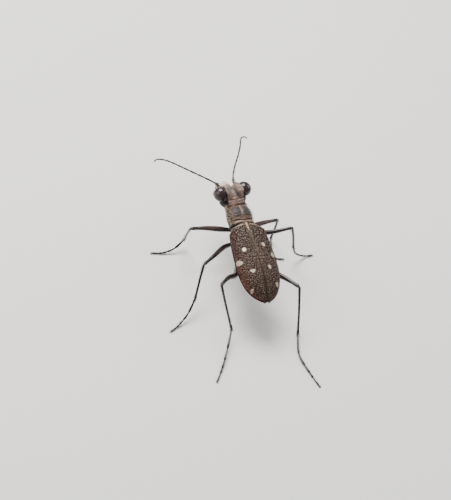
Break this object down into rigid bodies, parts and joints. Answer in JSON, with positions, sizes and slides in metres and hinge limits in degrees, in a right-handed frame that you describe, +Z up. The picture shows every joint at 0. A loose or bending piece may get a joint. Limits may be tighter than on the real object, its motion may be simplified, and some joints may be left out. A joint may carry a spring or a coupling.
{
  "type": "tiger beetle",
  "caption": "Life-size tiger beetle standing on long slender legs, with bulging eyes, sickle jaws, long feelers and pale-spotted bronze wing cases.",
  "frame": {"origin": "on the floor, under the middle of the box round the whole stance", "axes": "+Z up, -Y towards the head, +X towards the beetle's own left"},
  "size_m": [0.0166, 0.0244, 0.0066],
  "materials": {
    "wing_case": "dull dark bronze with a granular surface and cream spots",
    "collar": "coppery brown, finely wrinkled, with slate-grey lobes",
    "face": "coppery brown with a blue-green patch on the crown",
    "belly": "glossy near-black with a green-blue lustre and pale hairs at the sides",
    "eye": "polished dark maroon brown",
    "lip": "smooth pale cream",
    "jaw": "glossy dark brown with pale bases",
    "leg": "glossy black-brown with pale bristles",
    "feeler": "satin dark brown, downy towards the tip"
  },
  "bodies": {
    "root": {"head": "face", "eye_left": "eye", "eye_right": "eye", "labrum": "lip", "mandible_left": "jaw", "mandible_right": "jaw", "palps": "jaw", "antenna_left": "feeler", "antenna_right": "feeler", "prothorax": "collar", "scutellum": "wing_case", "wing_case_left": "wing_case", "wing_case_right": "wing_case", "thorax": "belly", "abdomen": "belly", "front_left_femur": "leg", "front_left_tibia": "leg", "front_left_tarsus": "leg", "mid_left_femur": "leg", "mid_left_tibia": "leg", "mid_left_tarsus": "leg", "hind_left_femur": "leg", "hind_left_tibia": "leg", "hind_left_tarsus": "leg", "front_right_femur": "leg", "front_right_tibia": "leg", "front_right_tarsus": "leg", "mid_right_femur": "leg", "mid_right_tibia": "leg", "mid_right_tarsus": "leg", "hind_right_femur": "leg", "hind_right_tibia": "leg", "hind_right_tarsus": "leg"}
  },
  "joints": []
}
